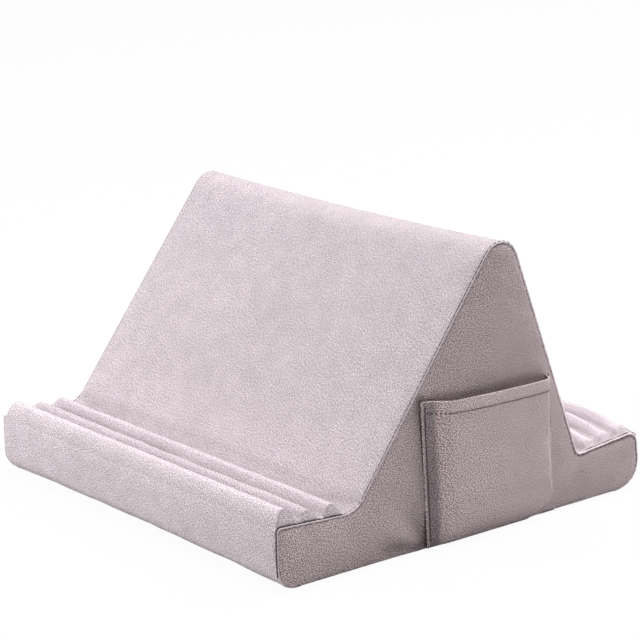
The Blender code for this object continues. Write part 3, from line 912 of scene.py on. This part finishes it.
# painted highlight on the rear strip
REAR_STRIP_HIGHLIGHT = 0.28
REAR_FOLD = 1.2 * MM             # width of the fold's painted shade between rear strip and face
HIGHLIGHT_CORD_RADIUS = 0.4 * MM         # a light cord along the rear of the face: a painted highlight
HIGHLIGHT_CORD_IN = 2.4 * MM             # from where the face is sewn down to that cord
HIGHLIGHT_CORD_LIFT = 0.2 * MM
HIGHLIGHT_CORD_TOP = 0.6 * MM            # it begins this far below the top edge
HIGHLIGHT_CORD_STEP = 1.2 * MM
HIGHLIGHT_CORD_TURN = math.pi / 2 / 13   # its step round the lower rear corner
HIGHLIGHT_CORD_STEPS = 10
POCKET_STITCH = 1.2 * MM
EDGE_STITCH = 1.75 * MM
EDGE_ROW = 3 * MM, 5 * MM        # where the row begins, and how much shorter it is than the edge
GROOVE_STITCH = 1.5 * MM
POCKET_STITCH_WIDTH = 0.9 * MM
GROOVE_STITCH_WIDTH = 0.8 * MM
STITCH_LIFT = 0.12 * MM
POCKET_STITCH_PITCH = 1.8 * MM
# the groove's thread is one dark line: partly brown thread, partly painted shade in the groove
GROOVE_THREAD_X = 132.0 * MM     # the brown thread beside the rear of the face
GROOVE_THREAD_BACK = 0.4 * MM    # lies this far behind it
RAY_ROOM = 20 * MM               # its surface is looked for from this far outside
OUTWARD, UPWARD = Vector((1, 0, 0)), Vector((0, 0, 1))

low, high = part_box("phone_pocket")
high.y -= REAR_TURNED_IN
pocket_width = high.y - low.y
pocket_floor = 0.5 * MM


def top_edge(y):
    """Height of the pocket's top edge."""
    share = (y - low.y) / pocket_width
    return high.z - POCKET_DROP * share - TOP_SAG * 4 * share * (1 - share)


def face_inside(y, z):
    """Distance inside the face's sewn edge: up the rear side and round the lower rear corner."""
    to_rear = high.y - REAR_STRIP - y
    to_bottom = z - pocket_floor
    if to_rear < REAR_ROUND and to_bottom < REAR_ROUND:
        corner = math.hypot(REAR_ROUND - to_rear, REAR_ROUND - to_bottom)
        return REAR_ROUND - corner
    return to_rear


def proud(y, z):
    """How far the pocket's outer surface stands off the side panel."""
    from_front = y - low.y
    if from_front < STRIP:
        return STRIP_PROUD
    if from_front < STRIP + GROOVE:
        return GROOVE_PROUD
    rear_edge = face_inside(y, z)
    if rear_edge < 0:
        to_edge = high.y - y
        return REAR_STRIP_PROUD if to_edge < REAR_STRIP - REAR_GROOVE else 0.0
    front = eased((from_front - STRIP - GROOVE) / FRONT_FLARE)
    rear = math.sin(math.pi / 2 * min(1.0, rear_edge / REAR_FLARE))
    bottom = math.sin(math.pi / 2 * min(1.0, (z - pocket_floor) / BOTTOM_FLARE))
    bottom = BOTTOM_SHARE + (1 - BOTTOM_SHARE) * bottom
    rise = FACE_LOW + (FACE_PROUD - FACE_LOW) * front * min(rear, bottom)
    down = top_edge(y) - z
    if down < HEM_HEIGHT:
        rise += HEM_PROUD * eased((HEM_HEIGHT - down) / HEM_RISE)
        rise -= HEM_GROOVE * max(0.0, 1 - abs(down - HEM_STITCH_DOWN) / HEM_GROOVE_WIDTH)
    return rise


across = round(pocket_width / POCKET_STEP)
up = round((high.z - pocket_floor) / POCKET_STEP)
bpy.ops.mesh.primitive_grid_add(x_subdivisions=across, y_subdivisions=up, size=1)
pocket = bpy.context.object
pocket.name = "pocket_cloth"
pocket.select_set(False)
sewn_points = []
for vertex in pocket.data.vertices:
    y = low.y + pocket_width * (vertex.co.x + 0.5)
    z = pocket_floor + (top_edge(y) - pocket_floor) * (vertex.co.y + 0.5)
    vertex.co = (low.x - PANEL_GAP + proud(y, z), y, z)
    if y < low.y + STRIP + GROOVE or face_inside(y, z) < SEWN_IN or z < SEWN_UP:
        sewn_points.append(vertex.index)
pocket.data.update()
lay_pattern(pocket, lambda v: (v.co.y + POCKET_PATTERN_START, v.co.z))


def pocket_painted_light(vertex):
    """Painted shade beside the strips, painted highlight on the rear strip and the top edge."""
    behind = vertex.co.y - low.y - STRIP
    if top_edge(vertex.co.y) - vertex.co.z < TOP_EDGE:
        return TOP_EDGE_HIGHLIGHT
    if behind < 0:
        return FRONT_STRIP_DARKENING
    to_rear = high.y - vertex.co.y
    if to_rear < REAR_STRIP - REAR_GROOVE + 0.1 * MM:
        return REAR_STRIP_HIGHLIGHT
    if to_rear < REAR_STRIP + REAR_FOLD:
        return FOLD_PAINTED_SHADE
    crease = 1 - eased((behind - 0.7 * CREASE_SHADE_WIDTH) / (0.5 * CREASE_SHADE_WIDTH))
    return FACE_LIGHTENING + (CREASE_PAINTED_SHADE - FACE_LIGHTENING) * crease


paint_light_and_shade(pocket, pocket_painted_light)
puff(pocket, sewn_points, pressure=1.5, cap_at=lambda place: POCKET_CAP, slack=0.012)
apply(pocket, "SMOOTH", factor=0.5, iterations=1)
apply(pocket, "SOLIDIFY", thickness=POCKET_CLOTH, offset=-1.0)
for vertex in pocket.data.vertices:
    vertex.co.x = max(vertex.co.x, PANEL_FACE_X)
apply(pocket, "SUBSURF", levels=1, render_levels=1)
pocket.data.shade_smooth()
pocket.data.materials.append(side_suede)
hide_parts("phone_pocket")
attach(pocket, "root")


def spot_on_pocket(y, z):
    """Point and outward normal of the pocket's outer surface at y and z."""
    hit, place, normal, _ = pocket.ray_cast(Vector((high.x + RAY_ROOM, y, z)), -OUTWARD)
    return (place, normal) if hit else (Vector((high.x, y, z)), OUTWARD)


def spread(start, length, pitch):
    """Values from start over this length, at about this pitch."""
    count = round(length / pitch)
    return [start + length * i / count for i in range(count + 1)]


hem_spots = []
for y in spread(low.y + STRIP, pocket_width - STRIP - REAR_STRIP, POCKET_STITCH_PITCH)[1:-1]:
    place, normal = spot_on_pocket(y, top_edge(y) - HEM_STITCH_DOWN)
    hem_spots.append((place + normal * STITCH_LIFT, Vector((0, 1, HEM_FALL)), normal))
sew("hem_stitches", hem_spots, length=POCKET_STITCH, width=POCKET_STITCH_WIDTH)

edge_spots = []
for z in spread(EDGE_ROW[0], top_edge(low.y) - EDGE_ROW[1], POCKET_STITCH_PITCH)[1:-1]:
    place, _ = spot_on_pocket(low.y + EDGE_STITCH_IN, z)
    edge_spots.append((place + OUTWARD * STITCH_LIFT, UPWARD, OUTWARD))
sew("edge_stitches", edge_spots, length=EDGE_STITCH, width=POCKET_STITCH_WIDTH)

groove_spots, highlight_cord_path = [], []
rear_y = high.y - REAR_STRIP
highlight_cord_length = top_edge(rear_y) - HIGHLIGHT_CORD_TOP - REAR_ROUND
count = round((top_edge(rear_y) - REAR_ROUND) / HIGHLIGHT_CORD_STEP)
for i in range(count + 1):
    z = top_edge(rear_y) - HIGHLIGHT_CORD_TOP - highlight_cord_length * i / count
    groove_spots.append((Vector((GROOVE_THREAD_X, rear_y + GROOVE_THREAD_BACK, z)), UPWARD,
                         OUTWARD))
    place, normal = spot_on_pocket(rear_y - HIGHLIGHT_CORD_IN, z)
    highlight_cord_path.append(place + normal * HIGHLIGHT_CORD_LIFT)
arm = REAR_ROUND - HIGHLIGHT_CORD_IN
for i in range(1, HIGHLIGHT_CORD_STEPS + 1):
    place, normal = spot_on_pocket(
        rear_y - REAR_ROUND + arm * math.cos(HIGHLIGHT_CORD_TURN * i),
        pocket_floor + REAR_ROUND - arm * math.sin(HIGHLIGHT_CORD_TURN * i))
    highlight_cord_path.append(place + normal * HIGHLIGHT_CORD_LIFT)
# this dark thread also stands in for the groove's shade, as painted shade
sew("groove_thread_and_shadow", groove_spots, length=GROOVE_STITCH, width=GROOVE_STITCH_WIDTH)
# the light cord is a painted highlight where the face's rear flank catches the light
lay_cord("pocket_highlight_cord", highlight_cord_path, HIGHLIGHT_CORD_RADIUS, welt_highlight_suede)

fold_spots = [(Vector((FOLD_THREAD_X, low.y - FOLD_THREAD_FRONT, z)), UPWARD, OUTWARD)
              for z in spread(FOLD_ROW[0], top_edge(low.y) - FOLD_ROW[1], STITCH_PITCH)]
sew("fold_thread_and_shadow", fold_spots, length=FOLD_STITCH)


# Floor, lights and camera: a plain white floor, a large soft light above, one from the front left,
# one from behind, and the photograph's own viewpoint.
CAMERA_PLACE = Vector((1.1275, -0.7776, 0.4508))
CAMERA_RIGHT = Vector((0.58283, 0.81076, -0.05434))
CAMERA_UP = Vector((-0.17789, 0.19255, 0.96500))
CAMERA_BACK = Vector((0.79287, -0.55278, 0.25645))
CAMERA_LENS = 151.16
FLOOR_WHITE = 0.96               # share of plain white that the camera sees in the floor
FLOOR_DROP = 0.2 * MM            # the floor lies this far under the stand
AMBIENT = 0.11                   # strength of the light from all round
LIT_SPOT = Vector((0, 0, 0.05))


def seen_directly(nodes, links):
    """1 for rays from the camera, and for those that a gloss or glass sends on."""
    rays = nodes.new("ShaderNodeLightPath")
    total = rays.outputs["Is Camera Ray"]
    for name in ("Is Glossy Ray", "Is Transmission Ray"):
        either = nodes.new("ShaderNodeMath")
        either.operation = "MAXIMUM"
        links.new(total, either.inputs[0])
        links.new(rays.outputs[name], either.inputs[1])
        total = either.outputs[0]
    return total


bpy.ops.mesh.primitive_plane_add(size=8, location=(0, 0, -FLOOR_DROP))
floor = bpy.context.object
floor.name = "floor"
floor_material, nodes, links, lit = new_material("floor_white")
lit.inputs["Base Color"].default_value = (0.70, 0.70, 0.70, 1.0)
lit.inputs["Roughness"].default_value = 1.0
lit.inputs["Specular IOR Level"].default_value = 0.0
white = nodes.new("ShaderNodeEmission")
white.inputs["Color"].default_value = (1.0, 1.0, 1.0, 1.0)
share = nodes.new("ShaderNodeMath")
share.operation = "MULTIPLY"
share.inputs[1].default_value = FLOOR_WHITE
links.new(seen_directly(nodes, links), share.inputs[0])
both = nodes.new("ShaderNodeMixShader")
links.new(share.outputs[0], both.inputs["Fac"])
links.new(lit.outputs["BSDF"], both.inputs[1])
links.new(white.outputs["Emission"], both.inputs[2])
links.new(both.outputs["Shader"], nodes["Material Output"].inputs["Surface"])
floor.data.materials.append(floor_material)

world = bpy.data.worlds.new("studio")
world.use_nodes = True
bpy.context.scene.world = world
nodes, links = world.node_tree.nodes, world.node_tree.links
background = nodes["Background"]
background.inputs["Color"].default_value = (1.0, 1.0, 1.0, 1.0)
level = nodes.new("ShaderNodeMapRange")
level.inputs["To Min"].default_value = AMBIENT
level.inputs["To Max"].default_value = 1.0
links.new(seen_directly(nodes, links), level.inputs["Value"])
links.new(level.outputs["Result"], background.inputs["Strength"])


def area_light(name, place, size, power):
    """A soft square light that points at the stand."""
    lamp = bpy.data.lights.new(name, "AREA")
    lamp.shape = "SQUARE"
    lamp.size = size
    lamp.energy = power
    obj = new_object(name, lamp)
    obj.location = place
    obj.rotation_euler = (LIT_SPOT - Vector(place)).to_track_quat("-Z", "Y").to_euler()


area_light("key", place=(-0.70, -0.95, 0.42), size=0.5, power=8.9)
area_light("top", place=(-0.1, 0.1, 2.3), size=1.4, power=48.5)
area_light("back", place=(0.15, 1.4, 1.6), size=0.9, power=27)

camera_data = bpy.data.cameras.new("camera")
camera_data.lens = CAMERA_LENS
camera = new_object("camera", camera_data)
axes = Matrix((CAMERA_RIGHT, CAMERA_UP, CAMERA_BACK)).transposed()
camera.matrix_world = Matrix.Translation(CAMERA_PLACE) @ axes.to_4x4()
bpy.context.scene.camera = camera
bpy.context.scene.view_settings.view_transform = "Standard"
